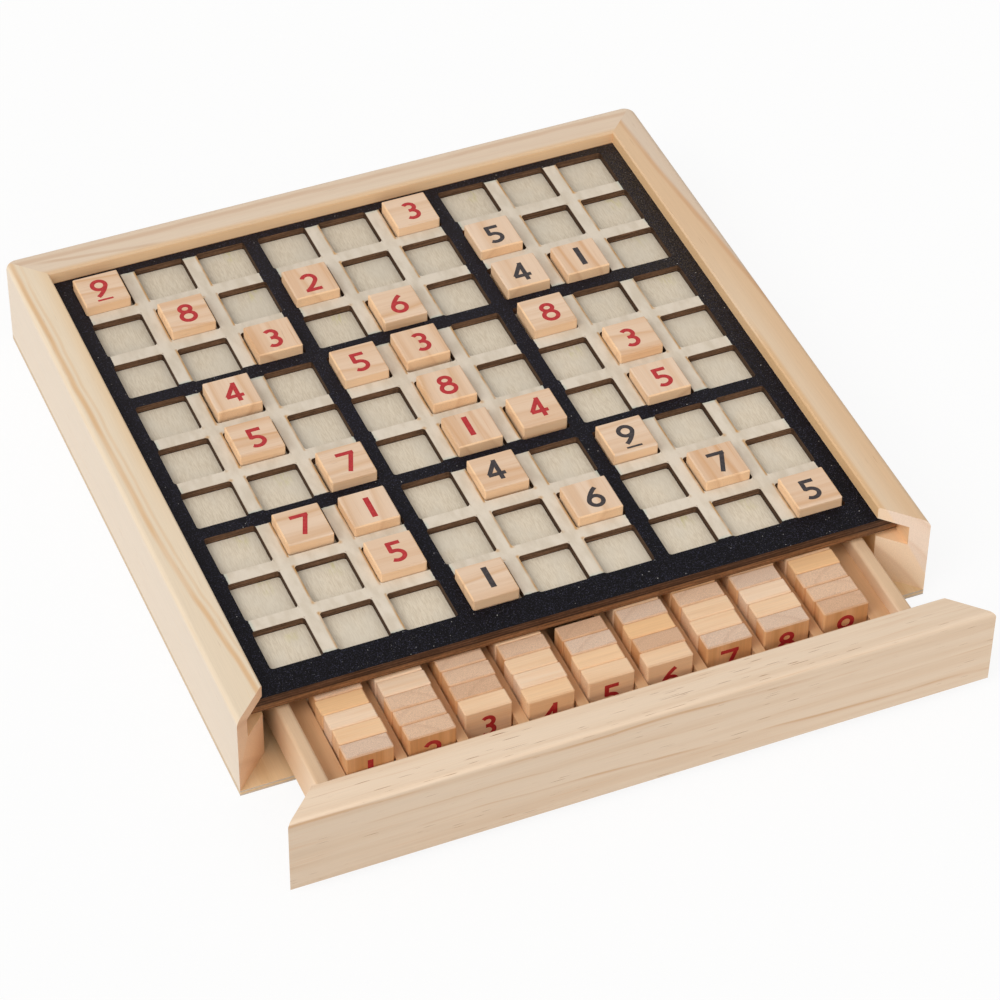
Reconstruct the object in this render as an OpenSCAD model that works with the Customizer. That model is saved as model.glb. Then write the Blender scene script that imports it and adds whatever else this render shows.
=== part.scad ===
// Wooden sudoku board with a drawer for its number tiles.
// A mitred moulding holds a pierced grid sheet on a backing sheet in its groove.
// The fourth side of the frame is the drawer's front, cut from the same moulding.
// Millimetres. The origin lies on the table under the middle of the closed frame,
// +Z is up and the drawer opens toward -Y.

/* [Grid board] */
// clear side of one square cell
cell_size = 16.8; // [12:0.1:30]
// width of the bar between two cells
bar_w = 4.8; // [3:0.1:8]
// rounding of the corners of a cell
cell_r = 1; // [0.4:0.1:2]
// width of the sheets outside the outer cells, left and right
side_border = 12.7; // [10:0.1:20]
// width of the sheets outside the outer cells, front and back
end_border = 10.2; // [9.4:0.1:13]
// thickness of the pierced grid sheet
grid_t = 2.6; // [1.5:0.1:5]
// thickness of the backing sheet
backing_t = 2.6; // [1.5:0.1:5]

/* [Number tiles] */
// thickness of a tile
tile_t = 6.3; // [4:0.1:9]
// bevel along every edge of a tile
tile_bevel = 0.4; // [0.2:0.1:1.5]
// how much smaller a tile is than its cell
tile_play = 1.7; // [0.8:0.1:2.6]
// gap between two stored tiles
tile_gap = 0.15; // [0.1:0.05:1]

/* [Frame moulding] */
// width of the moulding
rail_w = 12; // [10:0.5:20]
// depth of the groove that takes the board
groove_d = 7.3; // [5:0.1:8.5]
// thickness of the lip over the groove
lip_h = 4.6; // [3:0.1:8]
// rounding of the two back corners
corner_r = 4; // [3:0.5:8]
// rounding of the outer top edges
edge_r = 1.8; // [0.5:0.1:2.5]
// bevel on the inner edge of the lip
lip_bevel = 0.5; // [0.2:0.1:1.2]
// thickness of the base panel
base_t = 2; // [1.5:0.1:5]

/* [Drawer] */
// how far the drawer stands open
drawer_open = 42.5; // [1:0.5:160]
// thickness of the drawer's two sides
drawer_side_t = 4.5; // [3:0.1:6]
// rounding of the top edges of the drawer's sides
side_r = 1.2; // [0.3:0.1:1.4]
// thickness of the drawer's back
drawer_back_t = 4.5; // [3:0.1:8]
// thickness of the drawer's floor
drawer_floor_t = 2.5; // [1.5:0.1:4]
// how far the floor stays inside the outer faces of the sides
floor_inset = 2; // [0.5:0.1:2.8]
// depth of the block behind the drawer's front
front_block_d = 14.5; // [6:0.5:30]
// thickness of a divider between two channels
divider_t = 3.4; // [2:0.1:4.2]
// height of the dividers, the block and the fillers
divider_h = 9; // [5:0.5:13]
// how far the sides stop below the tops of the stored tiles
side_drop = 0.5; // [0.2:0.1:6]

/* [Fits] */
// room under the board, which is glued up against the lips
board_foot = 2.2; // [0.5:0.1:4]
// room between the board's side edges and the bottom of the groove
groove_side_gap = 0.8; // [0.2:0.1:1.5]
// room between the board's back edge and the bottom of the groove
groove_end_gap = 0.3; // [0.1:0.1:1]
// room between the drawer's sides and the rails
drawer_gap = 4.15; // [1:0.05:5]
// room between the closed drawer and the back rail
drawer_back_gap = 3; // [1:0.5:10]
// height of the drawer's floor over the base panel
drawer_run = 0.3; // [0.2:0.1:1]
// height of the drawer's front over the base panel
front_lift = 1.1; // [0.3:0.1:2]
// room over the board in the groove of the drawer's front
front_groove_room = 0.4; // [0.2:0.1:1]
// room between the stored tiles and the board
tile_head = 1.1; // [0.5:0.1:5]
// how much wider a channel is than a tile
channel_play = 0.9; // [0.4:0.1:1.4]

/* [Hidden] */
// cells along one side of the grid, and as many channels in the drawer
grid_n = 9;
grid_mid = (grid_n - 1) / 2;
// one length by which cuts run past what they cut
overrun = 1;

cell_pitch = cell_size + bar_w;
grid_span = grid_n * cell_size + (grid_n - 1) * bar_w;
board_w = grid_span + 2 * side_border;
board_d = grid_span + 2 * end_border;
tile_size = cell_size - tile_play;

// plan of the frame, from the board outward
inner_half = board_w / 2 + groove_side_gap - groove_d;
groove_half = inner_half + groove_d;
frame_half = inner_half + rail_w;
board_y = groove_half - groove_end_gap - board_d / 2;

// heights, from the table upward
floor_z = base_t + drawer_run;
drawer_z = floor_z + drawer_floor_t;
board_z = drawer_z + tile_size + tile_head;
ledge_z = board_z - board_foot;
grid_z = board_z + backing_t;
groove_top = grid_z + grid_t;
rail_top = groove_top + lip_h;
rail_h = rail_top - base_t;
front_z = base_t + front_lift;
front_h = rail_top - front_z;

// plan of the closed drawer
drawer_half = inner_half - drawer_gap;
drawer_in_half = drawer_half - drawer_side_t;
drawer_end = inner_half - drawer_back_gap;
drawer_len = inner_half + drawer_end;
channel_w = tile_size + channel_play;
channel_pitch = channel_w + divider_t;
channels_half = (grid_n * channel_w + (grid_n - 1) * divider_t) / 2;
channel_start = front_block_d - inner_half;
channel_end = drawer_end - drawer_back_t;
channel_len = channel_end - channel_start;
side_h = tile_size - side_drop;

// tiles on the board: row from the back, column from the left,
// and their shift as a share of the play in the cell, to the right and to the back
tile_shift_shares = [
    [1, 1, -0.4, -0.4], [1, 6, 0, -0.35],
    [2, 2, -0.3, -0.4], [2, 4, -0.4, -0.4], [2, 7, -0.3, -0.4],
    [3, 3, -0.1, -0.4], [3, 5, -0.1, -0.4], [3, 7, 0.1, -0.3], [3, 8, -0.1, -0.4],
    [4, 2, 0, 0], [4, 4, -0.25, -0.35], [4, 5, -0.3, 0.15], [4, 7, 0.2, -0.4],
    [5, 2, -0.3, -0.2], [5, 5, -0.2, -0.2], [5, 8, -0.3, -0.4],
    [6, 3, 0.1, -0.35], [6, 5, -0.3, -0.2], [6, 6, 0.1, 0.2], [6, 8, -0.25, -0.4],
    [7, 2, -0.35, -0.1], [7, 3, -0.35, -0.35], [7, 5, -0.35, -0.05], [7, 7, -0.1, -0.3],
    [8, 3, -0.3, -0.35], [8, 6, -0.05, -0.3], [8, 8, -0.1, -0.4],
    [9, 4, -0.4, -0.2], [9, 9, -0.3, -0.4]
];

// tiles in each channel of the drawer
stored_counts = [6, 9, 6, 6, 4, 8, 7, 7, 8];
// where each row of stored tiles starts behind the block, as a share of a tile's thickness
row_start_shares = [0.05, 0.1, 0.6, 0.2, 0.3, 0.25, 0.3, 0.3, 0.25];
// how stored tiles stand to the left or right, as a share of the play in the channel, by turns
row_shift_shares = [0.2, -0.1, 0.3, 0, -0.3, 0.1, -0.2];

function cell_x(col) = (col - 1 - grid_mid) * cell_pitch;
function cell_y(row) = board_y + (grid_mid + 1 - row) * cell_pitch;
function channel_x(i) = (i - 1 - grid_mid) * channel_pitch;
function turn_share(i) = row_shift_shares[i % len(row_shift_shares)];
function tile_node(t) = str("tile_r", t[0], "c", t[1]);

FRAME_NODES = ["left_rail", "right_rail", "back_rail", "base_panel", "backing_sheet", "grid_sheet"];
DRAWER_NODES = ["drawer_front", "drawer_left_side", "drawer_right_side", "drawer_back",
    "drawer_floor", "drawer_front_block", "left_filler", "right_filler"];
DIVIDER_NODES = [for (i = [1:grid_n - 1]) str("divider_", i)];
STORED_NODES = [for (i = [1:grid_n]) str("stored_tiles_", i)];
TILE_NODES = [for (t = tile_shift_shares) tile_node(t)];
$fn = 48;

// Frame

// outer strip of the moulding seen from its end, rounded where its side meets its top
module edge_strip() {
    square([corner_r, rail_h - edge_r]);
    square([corner_r - edge_r, rail_h]);
    translate([corner_r - edge_r, rail_h - edge_r])
        circle(r = edge_r);
}

// one half of the frame's solid body: core, right strip, half the back strip and the back corner
module half_body() {
    core_half = frame_half - corner_r;
    translate([0, -frame_half, base_t])
        cube([core_half, frame_half + core_half, rail_h]);
    translate([core_half, core_half, base_t])
        rotate([90, 0, 0])
            linear_extrude(height = frame_half + core_half)
                edge_strip();
    translate([0, core_half, base_t])
        rotate([90, 0, 90])
            linear_extrude(height = core_half)
                edge_strip();
    translate([core_half, core_half, base_t])
        rotate_extrude(angle = 90)
            edge_strip();
}

// sector that a side of the frame takes up, mitred at 45 degrees, pointing toward -X
module side_sector() {
    linear_extrude(height = rail_top + overrun)
        polygon([[0, 0], [-2 * frame_half, 2 * frame_half], [-2 * frame_half, -2 * frame_half]]);
}

// square bar that bevels the inner edge of a lip on the -X side
module lip_bevel_bar() {
    bar = lip_bevel * sqrt(2);
    translate([-inner_half, 0, rail_top])
        rotate([0, 45, 0])
            cube([bar, 2 * frame_half, bar], center = true);
}

// the moulding all round the board, open at the front, with its groove
module moulding() {
    difference() {
        union() {
            half_body();
            mirror([1, 0, 0])
                half_body();
        }
        translate([-inner_half, -frame_half - overrun, base_t - overrun])
            cube([2 * inner_half, frame_half + inner_half + overrun, rail_h + 2 * overrun]);
        translate([-groove_half, -frame_half - overrun, ledge_z])
            cube([2 * groove_half, frame_half + groove_half + overrun, groove_top - ledge_z]);
    }
}

// one side of the frame; turn brings the -X side round to where it belongs
module frame_side(turn) {
    difference() {
        intersection() {
            moulding();
            rotate(turn)
                side_sector();
        }
        rotate(turn)
            lip_bevel_bar();
    }
}

module left_rail() {
    color("#E6CFA6")
        frame_side(0);
}

module right_rail() {
    color("#E4CCA2")
        frame_side(180);
}

module back_rail() {
    color("#E8D2AA")
        frame_side(-90);
}

// outline of the frame in plan, with the two rounded back corners
module frame_outline() {
    core_half = frame_half - corner_r;
    translate([-frame_half, -frame_half])
        square([2 * frame_half, frame_half + core_half]);
    translate([-core_half, -frame_half])
        square([2 * core_half, 2 * frame_half]);
    for (side = [-1, 1])
        translate([side * core_half, core_half])
            circle(r = corner_r);
}

module base_panel() {
    color("#D9B98A")
        linear_extrude(height = base_t)
            frame_outline();
}

// Board

// outline of one cell, with rounded corners
module cell_outline() {
    flat = cell_size - 2 * cell_r;
    square([cell_size, flat], center = true);
    square([flat, cell_size], center = true);
    for (x = [-flat / 2, flat / 2], y = [-flat / 2, flat / 2])
        translate([x, y])
            circle(r = cell_r);
}

module backing_sheet() {
    color("#D8CCB6")
        translate([-board_w / 2, board_y - board_d / 2, board_z])
            cube([board_w, board_d, backing_t]);
}

module grid_sheet() {
    color("#221F24")
        translate([0, 0, grid_z])
            linear_extrude(height = grid_t)
                difference() {
                    translate([0, board_y])
                        square([board_w, board_d], center = true);
                    for (row = [1:grid_n], col = [1:grid_n])
                        translate([cell_x(col), cell_y(row)])
                            cell_outline();
                }
}

// Tiles

// rectangle with cut corners
module bevelled_outline(w, h) {
    x = w / 2;
    y = h / 2;
    b = tile_bevel;
    polygon([[b - x, -y], [x - b, -y], [x, b - y], [x, y - b],
             [x - b, y], [b - x, y], [-x, y - b], [-x, b - y]]);
}

// a tile bevelled along all twelve edges, centred, its face toward +Z
module tile_block() {
    intersection() {
        translate([0, 0, -tile_t / 2])
            linear_extrude(height = tile_t)
                bevelled_outline(tile_size, tile_size);
        rotate([90, 0, 0])
            translate([0, 0, -tile_size / 2])
                linear_extrude(height = tile_size)
                    bevelled_outline(tile_size, tile_t);
        rotate([90, 0, 90])
            translate([0, 0, -tile_size / 2])
                linear_extrude(height = tile_size)
                    bevelled_outline(tile_size, tile_t);
    }
}

// a tile lying in its cell on the backing sheet
module board_tile(t) {
    color("#E2C9A4")
        translate([cell_x(t[1]) + t[2] * tile_play, cell_y(t[0]) + t[3] * tile_play, grid_z + tile_t / 2])
            tile_block();
}

// Drawer

// moves the closed drawer's pieces to where the drawer stands
module in_drawer() {
    translate([0, -drawer_open, 0])
        children();
}

// end of the drawer's front: the moulding, from its inner face outward
module front_profile() {
    difference() {
        union() {
            square([rail_w, front_h - edge_r]);
            square([rail_w - edge_r, front_h]);
            translate([rail_w - edge_r, front_h - edge_r])
                circle(r = edge_r);
        }
        translate([-overrun, ledge_z - front_z])
            square([overrun + groove_d, groove_top + front_groove_room - ledge_z]);
        translate([0, front_h])
            rotate(45)
                square(lip_bevel * sqrt(2), center = true);
    }
}

module drawer_front() {
    color("#E9D3AC")
        in_drawer()
            intersection() {
                translate([frame_half, -inner_half, front_z])
                    rotate([90, 0, -90])
                        linear_extrude(height = 2 * frame_half)
                            front_profile();
                rotate(90)
                    side_sector();
            }
}

// end of a drawer side, its two top edges rounded
module side_profile() {
    square([drawer_side_t, side_h - side_r]);
    translate([side_r, 0])
        square([drawer_side_t - 2 * side_r, side_h]);
    for (x = [side_r, drawer_side_t - side_r])
        translate([x, side_h - side_r])
            circle(r = side_r);
}

module drawer_side() {
    in_drawer()
        translate([drawer_in_half, drawer_end, drawer_z])
            rotate([90, 0, 0])
                linear_extrude(height = drawer_len)
                    side_profile();
}

module drawer_left_side() {
    color("#EBD8B4")
        mirror([1, 0, 0])
            drawer_side();
}

module drawer_right_side() {
    color("#EBD8B4")
        drawer_side();
}

module drawer_back() {
    color("#E2CBA0")
        in_drawer()
            translate([-drawer_in_half, channel_end, drawer_z])
                cube([2 * drawer_in_half, drawer_back_t, side_h]);
}

module drawer_floor() {
    color("#D9BC90")
        in_drawer()
            translate([floor_inset - drawer_half, -inner_half, floor_z])
                cube([2 * (drawer_half - floor_inset), drawer_len, drawer_floor_t]);
}

module drawer_front_block() {
    color("#DCC298")
        in_drawer()
            translate([-drawer_in_half, -inner_half, drawer_z])
                cube([2 * drawer_in_half, front_block_d, divider_h]);
}

// strip between a side of the drawer and the outer channel
module filler() {
    in_drawer()
        translate([channels_half, channel_start, drawer_z])
            cube([drawer_in_half - channels_half, channel_len, divider_h]);
}

module left_filler() {
    color("#C9A678")
        mirror([1, 0, 0])
            filler();
}

module right_filler() {
    color("#C9A678")
        filler();
}

// divider to the right of channel i
module divider(i) {
    color("#C4A074")
        in_drawer()
            translate([channel_x(i) + channel_w / 2, channel_start, drawer_z])
                cube([divider_t, channel_len, divider_h]);
}

// tiles that stand on edge in channel i, their faces to the front
module stored_tiles(i) {
    color("#E0BE92")
        in_drawer()
            for (k = [0:stored_counts[i - 1] - 1])
                translate([channel_x(i) + turn_share(i + k) * channel_play,
                           channel_start + row_start_shares[i - 1] * tile_t
                               + k * (tile_t + tile_gap) + tile_t / 2,
                           drawer_z + tile_size / 2])
                    rotate([90, 0, 0])
                        tile_block();
}

left_rail();
right_rail();
back_rail();
base_panel();
backing_sheet();
grid_sheet();
drawer_front();
drawer_left_side();
drawer_right_side();
drawer_back();
drawer_floor();
drawer_front_block();
left_filler();
right_filler();
for (i = [1:grid_n - 1]) divider(i);
for (i = [1:grid_n]) stored_tiles(i);
for (t = tile_shift_shares) board_tile(t);
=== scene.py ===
# Wooden sudoku board with a drawer of number tiles: finishes, printed digits, light and camera.
import math

import bpy
from mathutils import Matrix, Vector


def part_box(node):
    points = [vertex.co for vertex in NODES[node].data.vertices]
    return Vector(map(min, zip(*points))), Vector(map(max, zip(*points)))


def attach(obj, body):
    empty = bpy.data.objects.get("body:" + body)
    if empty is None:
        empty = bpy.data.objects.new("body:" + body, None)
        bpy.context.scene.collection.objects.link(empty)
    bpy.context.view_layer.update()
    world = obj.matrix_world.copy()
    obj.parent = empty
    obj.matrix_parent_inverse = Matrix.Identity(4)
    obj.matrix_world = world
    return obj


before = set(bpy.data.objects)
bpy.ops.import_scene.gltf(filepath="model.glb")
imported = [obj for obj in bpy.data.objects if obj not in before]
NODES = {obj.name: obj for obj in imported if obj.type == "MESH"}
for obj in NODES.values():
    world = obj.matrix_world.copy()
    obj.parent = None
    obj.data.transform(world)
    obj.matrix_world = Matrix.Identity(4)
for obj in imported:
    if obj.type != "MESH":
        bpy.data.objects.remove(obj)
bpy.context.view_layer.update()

MM = 0.001


def reach(node):
    """lowest and highest corner of a solid, in millimetres"""
    low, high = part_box(node)
    return low / MM, high / MM


# Sizes of the object in millimetres, most of them read from its solids.
# Half the frame's width, then the moulding's width, depth of its groove and height of the groove's ledge
FRAME_HALF = reach("right_rail")[1].x
RAIL_W = 12.0
GROOVE_D = 7.3
LEDGE = 18.8
# Feet and tops of the sheets, and the middle of the board from front to back
BASE_TOP = reach("base_panel")[1].z
BACKING_FOOT = reach("backing_sheet")[0].z
GRID_FOOT, GRID_TOP = (corner.z for corner in reach("grid_sheet"))
BOARD_Y = (reach("grid_sheet")[0].y + reach("grid_sheet")[1].y) / 2
FLOOR_FOOT, FLOOR_TOP = (corner.z for corner in reach("drawer_floor"))
# Cells: pitch, half a cell, half the span of all nine, then a box line's place and half its width
CELL_PITCH = 21.6
CELL_HALF = 8.4
SPAN_HALF = 4 * CELL_PITCH + CELL_HALF
BOX_LINE = 1.5 * CELL_PITCH
BOX_LINE_HALF = 3.05
# Drawer: pitch of the channels, step from one stored tile to the next, most tiles of one digit
CHANNEL_PITCH = 19.4
STORED_STEP = 6.45
MOST_STORED = 10


def srgb(red, green, blue):
    """a colour as it is seen, 0 to 255, made linear"""
    def linear(part):
        part /= 255
        return part / 12.92 if part <= 0.04045 else ((part + 0.055) / 1.055) ** 2.4
    return (linear(red), linear(green), linear(blue), 1.0)


# A finish as a node tree

class Finish:
    """one wood or ink finish, written in millimetres of the object's own frame"""

    def __init__(self, name, gloss=0.25):
        self.material = bpy.data.materials.new(name)
        self.material.use_nodes = True
        self.tree = self.material.node_tree
        self.tree.nodes.clear()
        self.shader = self.add("ShaderNodeBsdfPrincipled")
        self.shader.inputs["Specular IOR Level"].default_value = gloss
        out = self.add("ShaderNodeOutputMaterial")
        self.tree.links.new(self.shader.outputs["BSDF"], out.inputs["Surface"])
        coords = self.add("ShaderNodeTexCoord")
        scaled = self.add("ShaderNodeVectorMath", operation="SCALE")
        self.feed(scaled.inputs[0], coords.outputs["Object"])
        self.feed(scaled.inputs["Scale"], 1 / MM)
        self.spot = scaled.outputs[0]
        self.x, self.y, self.z = self.split(self.spot)
        self.facing = self.split(coords.outputs["Normal"])

    def add(self, kind, **settings):
        """a new node with its settings"""
        made = self.tree.nodes.new(kind)
        for key, value in settings.items():
            setattr(made, key, value)
        return made

    def feed(self, socket, value):
        """links a socket, or sets a fixed value on it"""
        if isinstance(value, bpy.types.NodeSocket):
            self.tree.links.new(value, socket)
        else:
            socket.default_value = value

    def split(self, vector):
        parts = self.add("ShaderNodeSeparateXYZ")
        self.feed(parts.inputs[0], vector)
        return parts.outputs[0], parts.outputs[1], parts.outputs[2]

    def join(self, x, y, z):
        whole = self.add("ShaderNodeCombineXYZ")
        for socket, value in zip(whole.inputs, (x, y, z)):
            self.feed(socket, value)
        return whole.outputs[0]

    def calc(self, how, a, b=0.0, c=0.0):
        result = self.add("ShaderNodeMath", operation=how)
        for socket, value in zip(result.inputs, (a, b, c)):
            self.feed(socket, value)
        return result.outputs[0]

    def times(self, first, *others):
        for other in others:
            first = self.calc("MULTIPLY", first, other)
        return first

    def away(self, value, place):
        """how far a value is from a place"""
        return self.calc("ABSOLUTE", self.calc("SUBTRACT", value, place))

    def length(self, a, b):
        """the long side of a right triangle"""
        whole = self.add("ShaderNodeVectorMath", operation="LENGTH")
        self.feed(whole.inputs[0], self.join(a, b, 0.0))
        return whole.outputs["Value"]

    def rise(self, value, low, high, to_low=0.0, to_high=1.0, smooth=True):
        """a value that climbs from to_low at low to to_high at high"""
        step = self.add("ShaderNodeMapRange", interpolation_type="SMOOTHSTEP" if smooth else "LINEAR")
        for socket, given in zip(step.inputs, (value, low, high, to_low, to_high)):
            self.feed(socket, given)
        return step.outputs[0]

    def noise(self, stretch, seed=0.0, detail=2.0, grit=0.5, spot=None):
        """soft noise; stretch is its frequency per millimetre along x, y and z"""
        place = self.add("ShaderNodeMapping")
        self.feed(place.inputs["Vector"], spot or self.spot)
        place.inputs["Scale"].default_value = stretch
        place.inputs["Location"].default_value = (seed * 7.31, seed * 3.17, seed * 5.53)
        cloud = self.add("ShaderNodeTexNoise")
        self.feed(cloud.inputs["Vector"], place.outputs[0])
        for key, value in (("Scale", 1.0), ("Detail", detail), ("Roughness", grit)):
            cloud.inputs[key].default_value = value
        return cloud.outputs["Fac"]

    def specks(self, per_mm, size, share, seed=0.0):
        """scattered round specks; share of them are shown"""
        place = self.add("ShaderNodeMapping")
        self.feed(place.inputs["Vector"], self.spot)
        place.inputs["Scale"].default_value = (per_mm, per_mm, per_mm)
        place.inputs["Location"].default_value = (seed * 5.1, seed * 2.3, seed * 8.7)
        cells = self.add("ShaderNodeTexVoronoi")
        self.feed(cells.inputs["Vector"], place.outputs[0])
        cells.inputs["Scale"].default_value = 1.0
        chosen = self.rise(self.split(cells.outputs["Color"])[0], 1 - share - 0.01, 1 - share + 0.01)
        return self.times(self.rise(cells.outputs["Distance"], size, size * 0.5), chosen)

    def chance(self, value):
        """a fixed random number for each whole value"""
        dice = self.add("ShaderNodeTexWhiteNoise", noise_dimensions="1D")
        self.feed(dice.inputs["W"], value)
        return dice.outputs["Value"]

    def ramp(self, value, stops, flat=False):
        """tones along a value from 0 to 1; stops are (place, tone)"""
        scale = self.add("ShaderNodeValToRGB")
        ramp = scale.color_ramp
        ramp.interpolation = "CONSTANT" if flat else "LINEAR"
        while len(ramp.elements) < len(stops):
            ramp.elements.new(0.5)
        for element, (place, colour) in zip(ramp.elements, stops):
            element.position = place
            element.color = colour if isinstance(colour, tuple) else (colour, colour, colour, 1.0)
        self.feed(scale.inputs[0], value)
        return scale.outputs["Color"]

    def blend(self, share, a, b, how="MIX"):
        """colour a with a share of colour b"""
        mix = self.add("ShaderNodeMix", data_type="RGBA", blend_type=how)
        self.feed(mix.inputs[0], share)
        self.feed(mix.inputs[6], a)
        self.feed(mix.inputs[7], b)
        return mix.outputs[2]

    def shade(self, colour, factor):
        """a colour made darker or lighter by a grey factor"""
        return self.blend(1.0, colour, self.join(factor, factor, factor), "MULTIPLY")

    def done(self, colour, roughness, height, depth=0.02):
        """the finished material; height is its fine relief and depth that relief's size in millimetres"""
        self.feed(self.shader.inputs["Base Color"], colour)
        self.feed(self.shader.inputs["Roughness"], roughness)
        bump = self.add("ShaderNodeBump")
        bump.inputs["Strength"].default_value = 0.6
        bump.inputs["Distance"].default_value = depth * MM
        self.feed(bump.inputs["Height"], height)
        self.feed(self.shader.inputs["Normal"], bump.outputs[0])
        return self.material


class Timber(Finish):
    """solid wood with fibres along x or y; seed gives each piece its own figure"""

    LATE_WOOD = [(0.0, 0.0), (0.45, 0.12), (0.75, 0.45), (0.88, 1.0), (1.0, 0.0)]
    RESIN = srgb(158, 116, 82)

    def __init__(self, name, along, seed):
        super().__init__(name)
        self.along = along
        self.seed = seed
        if along == "x":
            self.run, self.across = self.x, self.y
            self.at_end, self.at_side = self.facing[0], self.facing[1]
        else:
            self.run, self.across = self.y, self.x
            self.at_end, self.at_side = self.facing[1], self.facing[0]

    def grain(self, wide, long, number, detail=2.0, grit=0.5):
        """noise drawn out along the fibres"""
        stretch = (long, wide, wide) if self.along == "x" else (wide, long, wide)
        return self.noise(stretch, self.seed + number, detail, grit)

    def rings(self, heart, width, sway, slope=0.0, phase=0.0):
        """share of late wood in growth rings round a heart line"""
        drift = self.calc("SUBTRACT", self.grain(0.035, 0.012, 0), 0.5)
        side = self.calc("SUBTRACT", self.calc("MULTIPLY_ADD", self.run, slope, self.across), heart[0])
        far = self.length(side, self.calc("SUBTRACT", self.z, heart[1]))
        year = self.calc("DIVIDE", self.calc("MULTIPLY_ADD", drift, sway, far), width)
        year = self.calc("ADD", year, phase)
        luck = self.chance(self.calc("ADD", self.calc("FLOOR", year), self.seed))
        late = self.ramp(self.calc("FRACT", year), self.LATE_WOOD)
        return self.times(late, self.calc("MULTIPLY_ADD", luck, 0.6, 0.4))

    def bands(self, share):
        """wide soft bands along the fibres"""
        return self.rise(self.grain(0.22, 0.006, 3, 3.0), 0.42, 0.68, 0.0, share)

    def streak(self, colour, path, half, tone, share, waver=1.6):
        """a soft line of another tone along the fibres, stronger here and there"""
        bend = self.calc("MULTIPLY_ADD", self.grain(0.02, 0.04, 21), waver, -waver / 2)
        off = self.away(self.calc("ADD", self.across, bend), path)
        worn = self.rise(self.grain(0.2, 0.03, 23), 0.3, 0.6, 0.55, 1.0)
        return self.blend(self.times(self.rise(off, half, half * 0.15, 0.0, share), worn), colour, tone)

    def face_tone_and_light(self, colour, axis, way, tone, share):
        """another tone on the faces that look one way: painted light on the side the light falls on, and on
        the tiles also their sawn faces' own warmer tone
        """
        looks = self.rise(self.times(self.facing[axis], way), 0.7, 0.98, 0.0, share)
        return self.blend(looks, colour, tone)

    def groove_tone(self, colour, inward, tone):
        """a warm tone on the ledge and the wall of the groove that holds the board: painted shade, a brown
        for the wood in the shade under the board; where it is pale, painted light that lifts that shade
        """
        above = self.rise(self.z, LEDGE - 0.3, LEDGE - 0.1)
        below = self.rise(self.z, GRID_TOP + 0.3, GRID_TOP + 0.1)
        looks = self.rise(self.times(self.at_side, inward), -0.6, -0.3)
        return self.blend(self.times(above, below, looks, 0.8), colour, tone)

    def finished(self, colour, ends, lines, threads=0.22, dashes=0.4, rare=0.44):
        """fibres, thin lines, resin dashes and sawn ends over the wood's own colour"""
        fibre = self.grain(4.5, 0.06, 5, 3.0, 0.6)
        colour = self.shade(colour, self.rise(fibre, 0.25, 0.75, 0.96, 1.03))
        thin = self.rise(self.grain(1.5, 0.03, 7, 2.0, 0.55), 0.58, 0.76, 0.0, threads)
        colour = self.blend(thin, colour, lines)
        marks = self.rise(self.grain(3.6, 0.12, 11, 0.0), 0.76, 0.82)
        gate = self.rise(self.grain(0.07, 0.02, 13, 1.0), rare, rare + 0.14, 0.0, dashes)
        colour = self.blend(self.times(marks, gate), colour, self.RESIN)
        pores = self.noise((3.2, 3.2, 3.2), self.seed + 15, 2.0, 0.7)
        sawn = self.shade(ends, self.rise(pores, 0.3, 0.7, 0.94, 1.04))
        colour = self.blend(self.rise(self.calc("ABSOLUTE", self.at_end), 0.25, 0.65), colour, sawn)
        return self.done(colour, self.rise(fibre, 0.2, 0.8, 0.54, 0.68), fibre, 0.01)


# Woods of the frame

def mitre_end(f, late, side, raw, lit_end, line):
    """sawn mitre with ring lines and a painted shadow of the board: darker inside a slanting border from the
    groove to the foot, paler outside it
    """
    steepness = 2.2
    out = f.calc("SUBTRACT", f.times(f.x, side), FRAME_HALF - RAIL_W + GROOVE_D)
    # painted shadow: the slant follows the shadow that the board's front edge casts on the mitre, darker in
    # it and paler outside it
    shadow_border = f.calc("ADD", f.times(out, steepness), f.calc("SUBTRACT", f.z, LEDGE))
    ends = f.blend(f.rise(shadow_border, -1.0, 1.5), raw, lit_end)
    return f.blend(f.times(late, 0.35), ends, line)


def left_rail_pine():
    """pale pine; two orange streaks leave the outer edge and drift to the lip at the front"""
    f = Timber("left_rail_pine", "y", 1)
    pale, warm = srgb(235, 216, 190), srgb(230, 196, 152)
    late = f.rings((-150.0, -30.0), 13.0, 4.0, 0.004, 0.55)
    colour = f.blend(f.times(late, 0.3), pale, warm)
    edge, turn_y = -FRAME_HALF, -20.0
    by_lip = f.rise(f.x, edge + 6.5, edge + RAIL_W, 0.0, 0.6)
    colour = f.blend(f.times(by_lip, f.rise(f.y, turn_y - 25.0, turn_y + 40.0)), colour, warm)
    straight = f.rise(f.y, FRAME_HALF, turn_y, edge + 1.8, edge + 3.6, smooth=False)
    drift = f.rise(f.y, turn_y, -FRAME_HALF, 0.0, 6.6)
    path = f.calc("ADD", straight, drift)
    colour = f.streak(colour, path, 1.4, srgb(222, 178, 128), 0.75, 1.2)
    colour = f.streak(colour, f.calc("ADD", path, 2.4), 0.8, srgb(224, 186, 140), 0.4, 2.2)
    # painted light: the outward face is paler, standing in for the strong light from the left
    colour = f.face_tone_and_light(colour, 0, -1, srgb(226, 212, 196), 0.85)
    # painted light: the groove's tone here is pale to lift the shade under the board
    colour = f.groove_tone(colour, 1, srgb(252, 204, 150))
    ends = mitre_end(f, late, -1, srgb(242, 202, 166), srgb(243, 208, 176), srgb(192, 138, 100))
    return f.finished(colour, ends, warm, dashes=0.25)


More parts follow.
